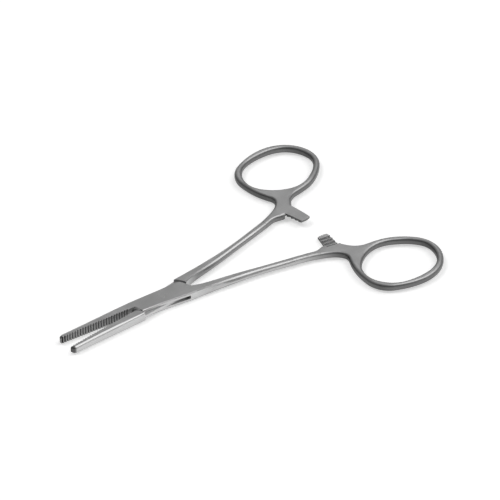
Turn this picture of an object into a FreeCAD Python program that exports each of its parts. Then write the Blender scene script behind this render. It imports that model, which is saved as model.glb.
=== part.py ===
import FreeCAD, Part
import math
import os
from FreeCAD import Vector

# Hemostatic forceps with a box joint, lying flat and a little open.
# Two forged halves cross at the joint: the middle of the male half passes through
# a slot in the female half, and a rivet ground flush holds them together.
# Millimetres. The origin is on the hinge axis, on the surface the forceps lie on.
# Jaws point to -X and rings to +X. Everything is drawn for the male half with the
# jaws shut, its jaw below the X axis and its ring above. The female half is the mirror.

# Opening of each half from shut, as the forceps lie
rest_half_angle = 4.0

# Joint
joint_thickness = 3.2
half_thickness = joint_thickness / 2
slot_height = 1.22
slab_height = 1.12
rivet_diameter = 2.2
rivet_clearance = 0.04

# Behind the joint two edges are arcs about this centre or its mirror: the free edge
# of each half, and the shoulder that the other half turns against
edge_arc_center = (0.5, 3.0)
free_edge_radius = 9.95
free_edge_angles = (-36.4, -25.6, -15.7)
shoulder_radius = 10.4
shoulder_angles = (-17.0, 20.0, 60.0)

# Jaws
tip_x = -36.0
tip_width = 1.62
jaw_clearance = 0.08
heel_relief = 0.15
heel_x = -10.3
tooth_count = 26
tooth_pitch = 0.96
tooth_depth = 0.32
tooth_width = 0.62
teeth_end = -12.4
heel_step = 0.2

# Stations along the jaw and joint: x, edge below, edge above, half height,
# bevel across, bevel down
jaw_stations = [
    (tip_x, -jaw_clearance - tip_width, 1.0, 1.27, 0.72, 0.55),
    (-27.0, -2.17, 1.5, 1.48, 0.75, 0.58),
    (-15.0, -2.90, 2.9, half_thickness, 0.60, 0.46),
    (-9.0, -3.10, 3.10, half_thickness, 0.38, 0.32),
    (0.0, -3.20, 3.30, half_thickness, 0.26, 0.28),
    (5.0, -3.35, 3.70, half_thickness, 0.26, 0.28),
    (10.5, -3.60, 4.02, half_thickness, 0.26, 0.28),
]

# Each jaw bevel is two flats, and this much of it is the upper, gentler one
bevel_share_across = 0.72
bevel_share_down = 0.45

# Stations along the shank: the same, then how far the side leans in above its middle
# and how round the bevel is, from 0 for flat to 1 for a quarter round
shank_stations = [
    (10.5, 0.45, 4.02, half_thickness, 0.26, 0.28, 0.0, 0.0),
    (13.0, 1.02, 4.25, 1.54, 0.30, 0.26, 0.12, 0.0),
    (17.0, 1.45, 4.60, 1.42, 0.38, 0.27, 0.28, 0.0),
    (22.5, 1.84, 5.10, 1.30, 0.45, 0.29, 0.40, 0.0),
    (31.6, 3.14, 5.88, 1.20, 0.46, 0.30, 0.38, 0.0),
    (41.0, 4.79, 7.15, 1.15, 0.52, 0.38, 0.26, 0.3),
    (50.0, 6.30, 8.66, 1.15, 0.78, 0.78, 0.0, 1.0),
    (52.0, 6.70, 9.06, 1.13, 0.78, 0.78, 0.0, 1.0),
]
side_middle = 0.35

# Handles, each from the end of its shank: x, edge below, edge above, and how steeply
# the two edges climb there
handle_start = (50.0, 6.27, 8.69)
inner_edge_slope = 0.18
outer_edge_slope = 0.24
ring_center = (72.85, 26.0)
ring_mean_radius = 12.52
ring_oval = 1.19
ring_oval_turn = 1.3
ring_egg = 0.33
ring_egg_turn = -5.7
ring_square = 0.23
ring_square_turn = -14.8
ring_width = 2.2
ring_height = 2.36
ring_edge_radius = 0.8

# Where round the ring its outer edge is drawn, from the neck to the web
rim_angles = (188, 150, 110, 70, 30, -10, -50, -88)

# The neck before the ring and the web after it: the angle round the ring, and how far
# out from the middle of its rim
neck_stations = [(222.1, 10.9), (224.7, 6.64), (222.5, 4.33), (214.7, 3.14)]
web_station = (243.7, 3.85)

# Ratchet: its arm curves round the hinge, this far back from the middle of the ring
ratchet_setback = 13.45
ratchet_width = 3.6
ratchet_inner_radius = ring_center[0] - ratchet_setback
ratchet_outer_radius = ratchet_inner_radius + ratchet_width

# The arm's root, as distance inside the outer curve and y, then the crotch between
# arm and shank, as distance before the inner curve and y
root_stations = [(-0.2, 8.2), (1.9, 6.4)]
crotch_stations = [(1.6, 6.1), (4.0, 6.75)]

# The arm runs from inside the web to its tip, and is wider at its root by the taper
arm_root_y = 9.2
arm_taper = 1.25
male_tip_y = 0.0
female_tip_y = 0.1
tip_bulge = 0.3

# Catch teeth: they end at this y at the root, and slant with the arm's curve
ratchet_root = 8.1
ratchet_teeth = 4
ratchet_pitch = 1.55
ratchet_tooth_height = 0.45
ratchet_slant = 0.133
ratchet_gap = 0.05
ratchet_valley_flat = 0.01
ratchet_cut_margin = 0.4
ratchet_cut_past_tip = 5.0

# Farther than any cut has to reach, and flatter than any face that stands
big = 20.0
flat = 0.01


def point(x, y, z=0.0):
    return Vector(x, y, z)


def line(a, b):
    return Part.makeLine(point(*a), point(*b))


def arc(a, middle, b):
    return Part.Arc(point(*a), point(*middle), point(*b)).toShape()


def arc_along(a, tangent, b):
    # An arc from a to b that leaves a along the tangent.
    chord = b - a
    turn = math.atan2(chord.cross(tangent).z, chord.dot(tangent))
    if abs(turn) < 1e-4:
        return Part.makeLine(a, b)
    rise = math.tan(turn / 2) / 2
    middle = (a + b) * 0.5 + Vector(-chord.y, chord.x, 0) * rise
    return Part.Arc(a, middle, b).toShape()


def smooth(points, closed=False, start=None, end=None):
    # A chain of tangent arcs, two from each point to the next.
    curve = Part.BSplineCurve()
    vectors = [point(*p) for p in points]
    curve.interpolate(Points=vectors, PeriodicFlag=closed)
    tangents = [curve.tangent(curve.parameter(v))[0] for v in vectors]
    if start:
        tangents[0] = point(*start).normalize()
        tangents[-1] = point(*end).normalize()
    if closed:
        vectors.append(vectors[0])
        tangents.append(tangents[0])
    edges = []
    for a, b, ta, tb in zip(vectors, vectors[1:], tangents, tangents[1:]):
        chord = b - a
        both = chord.dot(ta + tb)
        bend = 2 * (1 - ta.dot(tb))
        if bend < 1e-7:
            reach = chord.dot(chord) / (2 * both)
        else:
            reach = (math.sqrt(both ** 2 + bend * chord.dot(chord)) - both) / bend
        middle = (a + ta * reach + b - tb * reach) * 0.5
        edges.append(arc_along(a, ta, middle))
        edges.append(arc_along(b, tb * -1, middle))
    return edges


def polyline(points):
    return [line(a, b) for a, b in zip(points, points[1:])]


def prism(edges, low, high):
    face = Part.Face(Part.Wire(Part.__sortEdges__(edges)))
    solid = face.extrude(point(0, 0, high - low))
    solid.translate(point(0, 0, low))
    return solid


def polygon_prism(points, low, high):
    return prism(polyline(points + points[:1]), low, high)


def section(x, below, above, quarter, single=False):
    # Cross section with the same quarter at each corner: how far in from the side and
    # how high each of its points lies. A single one has its toothed face at the top edge.
    if single:
        half = quarter[0][1]
        outline = [(-jaw_clearance, half), (-jaw_clearance, -half)]
    else:
        outline = [(above - inward, z) for inward, z in quarter]
        outline += [(above - inward, -z) for inward, z in reversed(quarter)]
    outline += [(below + inward, -z) for inward, z in quarter]
    outline += [(below + inward, z) for inward, z in reversed(quarter)]
    points = [point(x, y, z) for y, z in outline]
    return Part.makePolygon(points + points[:1])


def jaw_section(station, single=False):
    x, below, above, half, across, down = station
    waist = (across * (1 - bevel_share_across), half - down * bevel_share_down)
    return section(x, below, above, [(across, half), waist, (0, half - down)], single)


def shank_section(station):
    x, below, above, half, across, down, lean, roundness = station
    flat = [(across + lean, 0), (across / 2 + lean, down / 2), (lean, down), (0, half - side_middle)]
    quarter = []
    for number, (inward, drop) in enumerate(flat):
        turn = math.pi / 6 * number
        inward += roundness * (across * (1 - math.sin(turn)) - inward)
        drop += roundness * (down * (1 - math.cos(turn)) - drop)
        quarter.append((inward, half - drop))
    return section(x, below, above, quarter)


def jaw_tip():
    # The end of the jaw is rounded in plan about the corner of the tooth face.
    face = Part.Face(jaw_section(jaw_stations[0], single=True))
    return face.revolve(point(tip_x, -jaw_clearance, 0), point(0, 0, 1), -90)


def free_front_edge():
    edge = [(0.0, -heel_relief), (0.4, 0.2), (0.9, 1.55), (1.3, 3.3), (1.4, big)]
    return [(heel_x + x, y) for x, y in edge]


def above_tooth_face():
    # Everything above the toothed face, with the grooves across it.
    outline = [(tip_x - big, big), (tip_x - big, -jaw_clearance)]
    start = teeth_end - tooth_count * tooth_pitch
    for tooth in range(tooth_count):
        middle = start + (tooth + 0.5) * tooth_pitch
        outline.append((middle - tooth_width / 2, -jaw_clearance))
        outline.append((middle, -jaw_clearance - tooth_depth))
        outline.append((middle + tooth_width / 2, -jaw_clearance))
    outline.append((teeth_end, -jaw_clearance))
    outline.append((teeth_end + heel_step, -heel_relief))
    outline += free_front_edge()
    return polygon_prism(outline, -big, big)


def edge_arc(radius, side, angles):
    # Start, middle and end of an arc behind the joint. Its centre is above or below.
    points = []
    for angle in angles:
        x = edge_arc_center[0] + radius * math.cos(math.radians(angle))
        y = edge_arc_center[1] * side + radius * math.sin(math.radians(angle))
        points.append((x, y))
    return points


def behind_free_edge():
    # What lies behind the free edge. The cut comes up to the corner from outside the half.
    corner, middle, crotch = edge_arc(free_edge_radius, 1, free_edge_angles)
    lead_in = (corner[0] - 1.2, corner[1] - 0.5)
    edges = [line(lead_in, corner), arc(corner, middle, crotch)]
    edges += polyline([crotch, (big, crotch[1]), (big, -big), (lead_in[0] - 1.3, -big), lead_in])
    return prism(edges, -big, big)


def between_shoulders(low, high):
    # The room that the other half fills between the front and the rear shoulder.
    step = [(-2.3, 0.0), (-0.7, -0.23), (-0.1, -0.75), (0.45, -1.8), (0.7, -3.2)]
    front = [(heel_x + x, y) for x, y in step]
    bottom, middle, top = edge_arc(shoulder_radius, -1, shoulder_angles)
    edges = smooth(front)
    edges += polyline([front[-1], (front[-1][0], bottom[1]), bottom])
    edges.append(arc(bottom, middle, top))
    edges += polyline([top, (front[0][0], top[1]), front[0]])
    return prism(edges, low, high)


def ring_point(angle, offset):
    radius = ring_mean_radius + offset
    radius += ring_oval * math.cos(math.radians(2 * (angle - ring_oval_turn)))
    radius += ring_egg * math.sin(math.radians(3 * (angle - ring_egg_turn)))
    radius += ring_square * math.cos(math.radians(4 * (angle - ring_square_turn)))
    x = ring_center[0] + radius * math.cos(math.radians(angle))
    y = ring_center[1] + radius * math.sin(math.radians(angle))
    return (x, y)


def polar(radius, y):
    return (math.sqrt(radius ** 2 - y ** 2), y)


def bevelled(solid, rims, across, down):
    # The first distance of a bevel lies on the face that comes first in the solid.
    on_walls = []
    on_top = []
    for rim in rims:
        faces = [face for face in solid.Faces if any(edge.isSame(rim) for edge in face.Edges)]
        first_is_flat = faces[0].BoundBox.ZLength < flat
        (on_top if first_is_flat else on_walls).append(rim)
    result = solid.makeChamfer(down, across, on_walls)
    if on_top:
        result = result.common(solid.makeChamfer(across, down, on_top))
    return result


def rounded(solid, rims, radius):
    # A quarter round as three flats, which meet at 30 and 60 degrees round the quarter.
    short = radius * (1 - math.cos(math.pi / 6))
    long = radius * (1 - math.sin(math.pi / 6))
    slanted = solid.makeChamfer(short + long, rims)
    steep = bevelled(solid, rims, 2 * short, radius)
    shallow = bevelled(solid, rims, radius, 2 * short)
    return steep.common(slanted).common(shallow)


def ring_and_neck():
    # One outline, from the end of the shank round the ring and back past the arm's root.
    x, below, above = handle_start
    outline = [(x, above)] + [ring_point(angle, offset) for angle, offset in neck_stations]
    outline += [ring_point(angle, ring_width / 2) for angle in rim_angles]
    outline.append(ring_point(*web_station))
    outline += [polar(ratchet_outer_radius - inward, y) for inward, y in root_stations]
    outline += [polar(ratchet_inner_radius - back, y) for back, y in crotch_stations]
    outline.append((x, below))
    edges = smooth(outline, start=(1, outer_edge_slope), end=(-1, -inner_edge_slope))
    edges.append(line((x, below), (x, above)))
    solid = prism(edges, -ring_height / 2, ring_height / 2)
    hole = [ring_point(angle, -ring_width / 2) for angle in range(0, 360, 45)]
    solid = solid.cut(prism(smooth(hole, True), -big, big))
    rims = []
    for edge in solid.Edges:
        box = edge.BoundBox
        if box.ZLength < flat and box.XMax > x + 10 * flat:
            rims.append(edge)
    return rounded(solid, rims, ring_edge_radius)


def ratchet_arm(arm_tip_y):
    # The arm keeps crisp edges. It starts inside the web and narrows towards its tip.
    stations = (arm_root_y, arm_root_y / 2, arm_tip_y)
    outer = [polar(ratchet_outer_radius, y) for y in stations]
    inner = [polar(ratchet_inner_radius - arm_taper * y / arm_root_y, y) for y in stations]
    tip_middle = ((outer[2][0] + inner[2][0]) / 2, arm_tip_y - tip_bulge)
    edges = [arc(*outer), arc(outer[2], tip_middle, inner[2]), arc(*inner)]
    edges.append(line(inner[0], outer[0]))
    return prism(edges, -ring_height / 2, ring_height / 2)


def ratchet_cut(side, arm_tip_y):
    # Half of the arm's height goes, down to a row of catch teeth that face away from its tip.
    crest = ratchet_gap
    valley = ratchet_gap + ratchet_tooth_height
    profile = [(ratchet_root, -big), (ratchet_root, valley)]
    for tooth in range(ratchet_teeth, 0, -1):
        y = arm_tip_y + tooth * ratchet_pitch
        profile += [(y, valley), (y, crest), (y - ratchet_pitch + ratchet_valley_flat, valley)]
    profile += [(-ratchet_cut_past_tip, valley), (-ratchet_cut_past_tip, -big)]
    margin = arm_taper + ratchet_cut_margin
    start = point(ratchet_inner_radius - margin, -ratchet_slant * (margin + ratchet_width / 2), 0)
    points = [start + point(0, y, side * z) for y, z in profile]
    face = Part.Face(Part.makePolygon(points + points[:1]))
    reach = 3 * ratchet_width
    return face.extrude(point(reach, ratchet_slant * reach, 0))


def blank(arm_tip_y):
    front = Part.makeLoft([jaw_section(station) for station in jaw_stations], True)
    front = front.fuse(jaw_tip())
    front = front.cut(above_tooth_face()).cut(behind_free_edge())
    shank = Part.makeLoft([shank_section(station) for station in shank_stations], True)
    return front.multiFuse([shank, ring_and_neck(), ratchet_arm(arm_tip_y)])


def male_half():
    solid = blank(male_tip_y)
    slab = slab_height / 2
    solid = solid.cut(between_shoulders(slab, big)).cut(between_shoulders(-big, -slab))
    solid = solid.cut(ratchet_cut(1, male_tip_y))
    bore = Part.makeCylinder(rivet_diameter / 2 + rivet_clearance, 2 * big, point(0, 0, -big))
    return solid.cut(bore)


def female_half():
    solid = blank(female_tip_y)
    solid = solid.cut(between_shoulders(-slot_height / 2, slot_height / 2))
    solid = solid.cut(ratchet_cut(-1, female_tip_y))
    bore = Part.makeCylinder(rivet_diameter / 2, 2 * big, point(0, 0, -big))
    solid = solid.cut(bore)
    return solid.mirror(point(0, 0, 0), point(0, 1, 0))


def rivet():
    return Part.makeCylinder(rivet_diameter / 2, joint_thickness, point(0, 0, -half_thickness))


def place(solid, angle):
    solid.rotate(point(0, 0, 0), point(0, 0, 1), angle)
    solid.translate(point(0, 0, half_thickness))
    return solid


os.makedirs("parts", exist_ok=True)
place(male_half(), rest_half_angle).exportStep("parts/male_half.step")
place(female_half(), -rest_half_angle).exportStep("parts/female_half.step")
place(rivet(), -rest_half_angle).exportStep("parts/rivet.step")
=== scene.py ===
import math

import bpy
from mathutils import Matrix, Vector

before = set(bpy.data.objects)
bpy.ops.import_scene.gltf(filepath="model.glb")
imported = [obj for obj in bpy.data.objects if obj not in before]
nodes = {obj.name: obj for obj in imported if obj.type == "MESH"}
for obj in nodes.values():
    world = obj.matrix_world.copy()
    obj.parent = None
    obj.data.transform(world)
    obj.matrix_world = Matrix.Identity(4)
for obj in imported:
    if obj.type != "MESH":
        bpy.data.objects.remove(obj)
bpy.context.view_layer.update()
millimetre = 0.001

# Camera: its direction in degrees, its distance in metres, the point that it looks at and
# its lens and film in millimetres, and how near and how far it sees in metres
camera_azimuth = -37.905
camera_elevation = 37.381
camera_distance = 1.380
camera_target = (38.900, 4.971, 0.0)
lens_length = 310.53
film_width = 36.0
nearest_seen = 0.05
farthest_seen = 20.0

# Light: directions in the frame. Right and left are the picture's
right_way = (0.789, -0.615, 0.0)
left_way = (-0.789, 0.615, 0.0)
beyond_way = (0.471, 0.604, 0.643)
soft_box_way = (0.47, -0.20, 0.86)
sun_way = (-0.36, 0.36, 0.86)

# Light: strengths, where 1 shows as white
overhead_light = 1.9
beyond_light = 0.33
right_light = 0.45
room_light = 0.26
table_lift = 0.42
sun_light = 0.95

# Light: the cosines at which each one begins and is full, the sines of the heights at
# which the white backdrop begins and is full, and the lamp's width in degrees
overhead_spread = (0.84, 0.94)
beyond_spread = (0.80, 0.95)
right_spread = (0.45, 0.90)
backdrop_edge = (0.20, 0.06)
sun_width = 28

# Table: half its side and how far it lies under the forceps, in metres, and its grey
table_half = 1.5
table_drop = 0.00002
table_grey = 0.80

# Steel: what its tone is multiplied by in each place, as painted shade below 1 and painted light
# above 1, and what the rings add to roughness
ring_wall_painted_shade = 0.34
ring_flat_tone = 0.98
shaded_tone = 0.36
catch_painted_light = 1.7
joint_edge_painted_shade = 0.55
jaw_side_painted_light = 1.08
jaw_end_painted_shade = 0.18
tooth_face_painted_shade = 0.53
groove_painted_shade = 0.15
ring_roughness = 0.04

# Steel: where each zone begins and is full, in millimetres along the forceps from the hinge
ring_zone = (46, 58)
shank_zone = (10, 16)
joint_front = (-11.5, -9.5)
joint_back = (27, 18)
toothed_zone = (-9.5, -10.5)
jaw_end_zone = (-34.8, -35.9)
groove_zone = (2, 0)

# Steel: how high the catch teeth stand and how far the tooth faces lie from the line
# through the hinge, in millimetres
catch_height = (2.1, 1.9)
tooth_line = (0.52, 0.45)

# Steel: how far a surface has to turn, as 0 for level and 1 for upright, or as a cosine.
# The last is how much open sky a groove sees
wall_turn = (0.12, 0.55)
ring_wall_turn = (0.02, 0.30)
edge_turn = (0.10, 0.20)
edge_turn_end = (0.65, 0.50)
facing_left = (-0.2, 0.95)
facing_up = (0.85, 0.92)
facing_tips = (-0.1, -0.5)
hidden_sky = (0.94, 0.60)

# Steel: the grain, clouds and specks of the finish, as repeats in a metre, detail and
# roughness. The grain is repeated more closely across the instrument than along it, and
# the span is where most of a noise lies
grain_repeats = (150.0, 4000.0, 4000.0)
grain_noise = (1.0, 3.0, 0.6)
cloud_noise = (140.0, 4.0, 0.55)
speck_noise = (2600.0, 2.0, 0.5)
noise_span = (0.3, 0.7)

# Steel: how much they change tone, roughness and relief
cloud_tone = (0.95, 1.04)
grain_tone = 0.02
worn_tone = 0.09
cloud_roughness = (-0.03, 0.04)
speck_roughness = 0.02
worn_polish = 0.06
speck_relief = 0.4
relief_strength = 0.35
grain_depth = 0.006

# Steel: the radius over which an edge is worn and the distance within which a groove is
# hidden, in millimetres, and the samples that each takes
worn_radius = 0.10
worn_samples = 6
worn_turn = (0.99, 0.80)
groove_reach = 0.5
groove_samples = 8

# Steel: how strongly the grain spreads light, and how much of that is sideways
grain_spread = 0.75
grain_sideways = 0.25

# Edges: in degrees, how sharp one is to stay crisp on the jaws and shanks, and on the
# handles. In millimetres, where the handles begin, and how near corners are to be joined
crisp_angle = 20
round_angle = 35
round_zone = (44, 48)
corner_gap = 0.002


def new_material(name):
    material = bpy.data.materials.new(name)
    material.use_nodes = True
    material.node_tree.nodes.clear()
    return material


def add(tree, kind, inputs=None, **settings):
    node = tree.nodes.new(kind)
    for key, value in settings.items():
        setattr(node, key, value)
    for key, value in (inputs or {}).items():
        socket = node.inputs[key]
        if isinstance(value, bpy.types.NodeSocket):
            tree.links.new(value, socket)
        else:
            socket.default_value = value
    return node


def maths(tree, operation, first, second=0.0, clamp=False):
    node = add(tree, "ShaderNodeMath", {0: first, 1: second}, operation=operation, use_clamp=clamp)
    return node.outputs[0]


def largest(tree, first, *others):
    for other in others:
        first = maths(tree, "MAXIMUM", first, other)
    return first


def product(tree, first, *others):
    for other in others:
        first = maths(tree, "MULTIPLY", first, other)
    return first


def dot(tree, vector, direction):
    node = add(tree, "ShaderNodeVectorMath", {0: vector, 1: direction}, operation="DOT_PRODUCT")
    return node.outputs["Value"]


def remap(tree, value, begin, full, low, high):
    values = {
        "Value": value,
        "From Min": begin,
        "From Max": full,
        "To Min": low,
        "To Max": high,
    }
    return add(tree, "ShaderNodeMapRange", values, clamp=True).outputs["Result"]


# How far a value is into a zone, from 0 where the zone begins to 1 where it is full.
def zone(tree, value, limits, unit=1.0):
    begin, full = limits
    return remap(tree, value, begin * unit, full * unit, 0.0, 1.0)


# A noise turned into a change between two values.
def swing(tree, value, low, high):
    begin, full = noise_span
    return remap(tree, value, begin, full, low, high)


def blend(tree, amount, first, second):
    return add(tree, "ShaderNodeMix", {0: amount, 2: first, 3: second}).outputs[0]


# A shade that is multiplied by a tone where the mask is full.
def toned(tree, shade, mask, tone):
    return product(tree, shade, remap(tree, mask, 0.0, 1.0, 1.0, tone))


def noise(tree, place, scale, detail, roughness):
    values = {"Vector": place, "Scale": scale, "Detail": detail, "Roughness": roughness}
    return add(tree, "ShaderNodeTexNoise", values).outputs[0]


def split(tree, vector):
    return add(tree, "ShaderNodeSeparateXYZ", {"Vector": vector}).outputs


def turned_vector(tree, vector, kind, start, end):
    node = add(
        tree,
        "ShaderNodeVectorTransform",
        {"Vector": vector},
        vector_type=kind,
        convert_from=start,
        convert_to=end,
    )
    return node.outputs[0]


def grey(value):
    return (value, value, value, 1.0)


# Satin steel: a fine brushed grain that runs along the instrument, soft cloudy
# differences in the polish, and edges that use has rubbed brighter and smoother. Painted
# shade and painted light are added to its tone: darker ring walls, shank sides, joint
# edges, jaw ends, tooth faces and grooves, and brighter jaw sides and catch teeth. The
# finish belongs to the part, so places and directions are taken in its own frame.
def satin_steel(name, tone, roughness, grain_angle, shank_side_painted_shade, toothed):
    material = new_material(name)
    tree = material.node_tree
    place = add(tree, "ShaderNodeTexCoord").outputs["Object"]
    along_grain = (0.0, 0.0, math.radians(grain_angle))
    turned = add(tree, "ShaderNodeMapping", {"Vector": place, "Rotation": along_grain}).outputs[0]
    drawn = add(tree, "ShaderNodeMapping", {"Vector": turned, "Scale": grain_repeats}).outputs[0]
    grain = noise(tree, drawn, *grain_noise)
    cloud = noise(tree, place, *cloud_noise)
    speck = noise(tree, place, *speck_noise)

    # A rounded normal differs from the flat one only at an edge, so the
    # difference marks where the metal is worn.
    rounding = {"Radius": worn_radius * millimetre}
    soft = add(tree, "ShaderNodeBevel", rounding, samples=worn_samples).outputs[0]
    flat = add(tree, "ShaderNodeNewGeometry").outputs["Normal"]
    worn = zone(tree, dot(tree, soft, flat), worn_turn)

    shade = swing(tree, cloud, tone * cloud_tone[0], tone * cloud_tone[1])
    shade = maths(tree, "ADD", shade, swing(tree, grain, -grain_tone, grain_tone))
    shade = maths(tree, "ADD", shade, product(tree, worn, worn_tone))

    # The walls of the rings get painted shade, most of all where they face left, in place of the
    # dark reflections that they would show. The sides of the jaws get painted light, and the sides
    # of the shanks painted shade of their own.
    own = turned_vector(tree, flat, "NORMAL", "WORLD", "OBJECT")
    normal = split(tree, own)
    where = split(tree, place)
    upright = maths(tree, "SUBTRACT", 1.0, maths(tree, "ABSOLUTE", normal["Z"]))
    on_ring = zone(tree, where["X"], ring_zone, millimetre)
    wall = zone(tree, upright, wall_turn)
    wall = blend(tree, on_ring, wall, zone(tree, upright, ring_wall_turn))
    left = zone(tree, dot(tree, own, left_way), facing_left)
    ring = toned(tree, ring_wall_painted_shade, left, shaded_tone)
    on_shank = zone(tree, where["X"], shank_zone, millimetre)
    side = blend(tree, on_shank, jaw_side_painted_light, shank_side_painted_shade)
    wall_tone = blend(tree, on_ring, side, ring)
    flat_tone = blend(tree, on_ring, 1.0, ring_flat_tone)
    shade = product(tree, shade, blend(tree, wall, flat_tone, wall_tone))

    # The catch teeth look up from the middle of the arm's height, and get painted light.
    upward = zone(tree, normal["Z"], facing_up)
    below_top = zone(tree, where["Z"], catch_height, millimetre)
    shade = toned(tree, shade, product(tree, upward, below_top, on_ring), catch_painted_light)

    # The joint's narrow edges get painted shade that hides their highlight until the shanks begin.
    sloping = product(tree, zone(tree, upright, edge_turn), zone(tree, upright, edge_turn_end))
    front = zone(tree, where["X"], joint_front, millimetre)
    back = zone(tree, where["X"], joint_back, millimetre)
    shade = toned(tree, shade, product(tree, sloping, front, back), joint_edge_painted_shade)

    # The round ends of the jaws get painted shade.
    at_tip = zone(tree, where["X"], jaw_end_zone, millimetre)
    end = product(tree, at_tip, zone(tree, normal["X"], facing_tips))
    shade = toned(tree, shade, end, jaw_end_painted_shade)

    # The toothed faces lie along the line through the hinge and see only each other, so they get
    # painted shade.
    if toothed:
        toward = math.radians(grain_angle)
        across = (-math.sin(toward), math.cos(toward), 0.0)
        off_line = maths(tree, "ABSOLUTE", dot(tree, place, across))
        near_line = zone(tree, off_line, tooth_line, millimetre)
        on_jaw = zone(tree, where["X"], toothed_zone, millimetre)
        shade = toned(tree, shade, product(tree, near_line, on_jaw, wall), tooth_face_painted_shade)

    # The grooves of the jaws get painted shade where little open sky reaches them.
    open_sky = add(
        tree,
        "ShaderNodeAmbientOcclusion",
        {"Distance": groove_reach * millimetre, "Normal": flat},
        samples=groove_samples,
        only_local=True,
    ).outputs["AO"]
    before_hinge = zone(tree, where["X"], groove_zone, millimetre)
    groove = product(tree, zone(tree, open_sky, hidden_sky), before_hinge)
    shade = toned(tree, shade, groove, groove_painted_shade)
    colour = add(
        tree, "ShaderNodeCombineColor", {"Red": shade, "Green": shade, "Blue": shade}
    ).outputs[0]

    smoother, rougher = cloud_roughness
    gloss = swing(tree, cloud, roughness + smoother, roughness + rougher)
    gloss = maths(tree, "ADD", gloss, swing(tree, speck, -speck_roughness, speck_roughness))
    gloss = maths(tree, "SUBTRACT", gloss, product(tree, worn, worn_polish), clamp=True)
    gloss = maths(tree, "ADD", gloss, product(tree, on_ring, ring_roughness))

    relief = maths(tree, "ADD", grain, product(tree, speck, speck_relief))
    bump = add(
        tree,
        "ShaderNodeBump",
        {
            "Height": relief,
            "Strength": relief_strength,
            "Distance": grain_depth * millimetre,
            "Normal": soft,
        },
    ).outputs[0]

    # The grain lies level and along the instrument, so it spreads light across itself:
    # up and down on the sides, and sideways on the flats.
    spread = {"X": 0.0, "Y": grain_sideways, "Z": 1.0}
    across_grain = add(tree, "ShaderNodeCombineXYZ", spread).outputs[0]
    across_grain = turned_vector(tree, across_grain, "VECTOR", "OBJECT", "WORLD")
    shader = add(
        tree,
        "ShaderNodeBsdfPrincipled",
        {
            "Base Color": colour,
            "Metallic": 1.0,
            "Roughness": gloss,
            "Anisotropic": grain_spread,
            "Tangent": across_grain,
            "Normal": bump,
        },
    )
    add(tree, "ShaderNodeOutputMaterial", {"Surface": shader.outputs[0]})
    return material


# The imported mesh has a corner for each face, so its corners are joined, and gentle
# edges are shaded as the round surfaces that they stand for.
def rounding_steps():
    group = bpy.data.node_groups.new("shade_round", "GeometryNodeTree")
    group.interface.new_socket("Geometry", in_out="INPUT", socket_type="NodeSocketGeometry")
    group.interface.new_socket("Geometry", in_out="OUTPUT", socket_type="NodeSocketGeometry")
    start = group.nodes.new("NodeGroupInput")
    bare = add(
        group,
        "GeometryNodeRemoveAttribute",
        {"Geometry": start.outputs[0], "Name": "custom_normal"},
    )
    joined = add(
        group,
        "GeometryNodeMergeByDistance",
        {"Geometry": bare.outputs[0], "Distance": corner_gap * millimetre},
    )
    smooth = add(
        group,
        "GeometryNodeSetShadeSmooth",
        {"Geometry": joined.outputs[0], "Shade Smooth": True},
        domain="FACE",
    )
    angle = add(group, "GeometryNodeInputMeshEdgeAngle").outputs[0]
    place = add(group, "GeometryNodeInputPosition").outputs[0]
    limit = remap(
        group,
        split(group, place)["X"],
        round_zone[0] * millimetre,
        round_zone[1] * millimetre,
        math.radians(crisp_angle),
        math.radians(round_angle),
    )
    sharp = add(
        group,
        "FunctionNodeCompare",
        {0: angle, 1: limit},
        data_type="FLOAT",
        operation="GREATER_THAN",
    )
    crisp = add(
        group,
        "GeometryNodeSetShadeSmooth",
        {"Geometry": smooth.outputs[0], "Selection": sharp.outputs[0], "Shade Smooth": False},
        domain="EDGE",
    )
    end = group.nodes.new("NodeGroupOutput")
    group.links.new(crisp.outputs[0], end.inputs[0])
    return group


def shade_round(part, steps):
    part.modifiers.new("shade_round", "NODES").node_group = steps
    weighted = part.modifiers.new("flat_faces_stay_flat", "WEIGHTED_NORMAL")
    weighted.keep_sharp = True
    weighted.mode = "FACE_AREA_WITH_ANGLE"


# Rays that show the white surroundings, straight on or in the metal.
def seen_ray(tree):
    path = add(tree, "ShaderNodeLightPath").outputs
    return largest(
        tree, path["Is Camera Ray"], path["Is Glossy Ray"], path["Is Transmission Ray"]
    )


# The table that the forceps lie on. It is matt white, takes their shadow, and
# shows as white paper in the picture and in the metal.
def table_top():
    mesh = bpy.data.meshes.new("table")
    half = table_half
    corners = [(-half, -half, 0), (half, -half, 0), (half, half, 0), (-half, half, 0)]
    mesh.from_pydata(corners, [], [(0, 1, 2, 3)])
    top = bpy.data.objects.new("table", mesh)
    top.location.z = -table_drop
    bpy.context.scene.collection.objects.link(top)
    material = new_material("white_table")
    tree = material.node_tree
    matt = add(tree, "ShaderNodeBsdfDiffuse", {"Color": grey(table_grey)})
    lift = add(
        tree,
        "ShaderNodeEmission",
        {"Color": grey(1.0), "Strength": product(tree, seen_ray(tree), table_lift)},
    )
    both = add(tree, "ShaderNodeAddShader", {0: matt.outputs[0], 1: lift.outputs[0]})
    add(tree, "ShaderNodeOutputMaterial", {"Surface": both.outputs[0]})
    mesh.materials.append(material)


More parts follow.
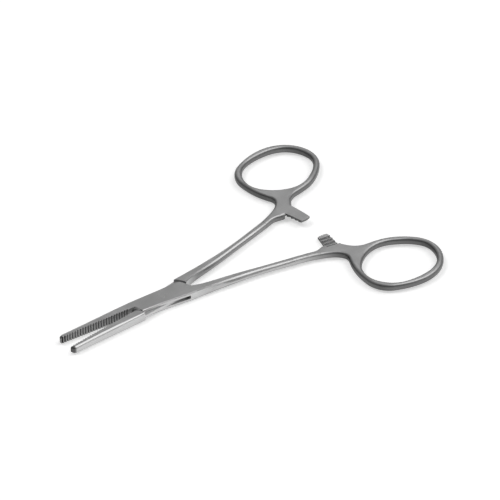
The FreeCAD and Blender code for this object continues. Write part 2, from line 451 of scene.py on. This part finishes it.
# The room: even light from all round, a wide soft box overhead, a grey wall beyond the
# rings and a brighter side to the right. A low white backdrop stands round the table.
def room():
    world = bpy.data.worlds.new("room")
    bpy.context.scene.world = world
    world.use_nodes = True
    tree = world.node_tree
    tree.nodes.clear()
    way = add(tree, "ShaderNodeTexCoord").outputs["Generated"]
    lights = (
        (soft_box_way, overhead_spread, overhead_light),
        (beyond_way, beyond_spread, beyond_light),
        (right_way, right_spread, right_light),
    )
    level = room_light
    for direction, (begin, full), strength in lights:
        lit = remap(tree, dot(tree, way, direction), begin, full, 0.0, strength)
        level = largest(tree, level, lit)
    low = zone(tree, split(tree, way)["Z"], backdrop_edge)
    backdrop = product(tree, low, seen_ray(tree))
    light = add(tree, "ShaderNodeBackground", {"Color": grey(1.0), "Strength": level})
    white = add(tree, "ShaderNodeBackground", {"Color": grey(1.0), "Strength": 1.0})
    mixed = add(
        tree, "ShaderNodeMixShader", {0: backdrop, 1: light.outputs[0], 2: white.outputs[0]}
    )
    add(tree, "ShaderNodeOutputWorld", {"Surface": mixed.outputs[0]})


# A wide soft lamp, high on the picture's left, that the metal doesn't reflect. It lays
# the forceps' shadow to the right.
def shadow_lamp():
    data = bpy.data.lights.new("shadow_lamp", "SUN")
    data.energy = sun_light
    data.angle = math.radians(sun_width)
    lamp = bpy.data.objects.new("shadow_lamp", data)
    lamp.rotation_euler = Vector(sun_way).to_track_quat("Z", "Y").to_euler()
    lamp.visible_glossy = False
    bpy.context.scene.collection.objects.link(lamp)


# The camera looks down on the forceps from the near side, beyond the tips.
def camera():
    azimuth = math.radians(camera_azimuth)
    elevation = math.radians(camera_elevation)
    back = Vector(
        (
            math.sin(azimuth) * math.cos(elevation),
            -math.cos(azimuth) * math.cos(elevation),
            math.sin(elevation),
        )
    )
    side = Vector((math.cos(azimuth), math.sin(azimuth), 0.0))
    up = back.cross(side)
    data = bpy.data.cameras.new("camera")
    data.sensor_width = film_width
    data.lens = lens_length
    data.clip_start = nearest_seen
    data.clip_end = farthest_seen
    eye = bpy.data.objects.new("camera", data)
    target = Vector(camera_target) * millimetre
    turn = Matrix((side, up, back)).transposed().to_4x4()
    eye.matrix_world = Matrix.Translation(target + back * camera_distance) @ turn
    bpy.context.scene.collection.objects.link(eye)
    bpy.context.scene.camera = eye


# The grain of each half runs along its jaw, and the far shank's sides get the most painted shade.
steel = {
    "female_half": satin_steel(
        "steel_female", tone=0.54, roughness=0.33, grain_angle=-4.0, shank_side_painted_shade=0.90, toothed=True
    ),
    "male_half": satin_steel(
        "steel_male", tone=0.54, roughness=0.33, grain_angle=4.0, shank_side_painted_shade=0.50, toothed=True
    ),
    "rivet": satin_steel(
        "steel_rivet", tone=0.52, roughness=0.35, grain_angle=30.0, shank_side_painted_shade=1.0, toothed=False
    ),
}
steps = rounding_steps()
for name, material in steel.items():
    nodes[name].data.materials.clear()
    nodes[name].data.materials.append(material)
    shade_round(nodes[name], steps)

table_top()
room()
shadow_lamp()
camera()

bpy.context.scene.view_settings.view_transform = "Standard"
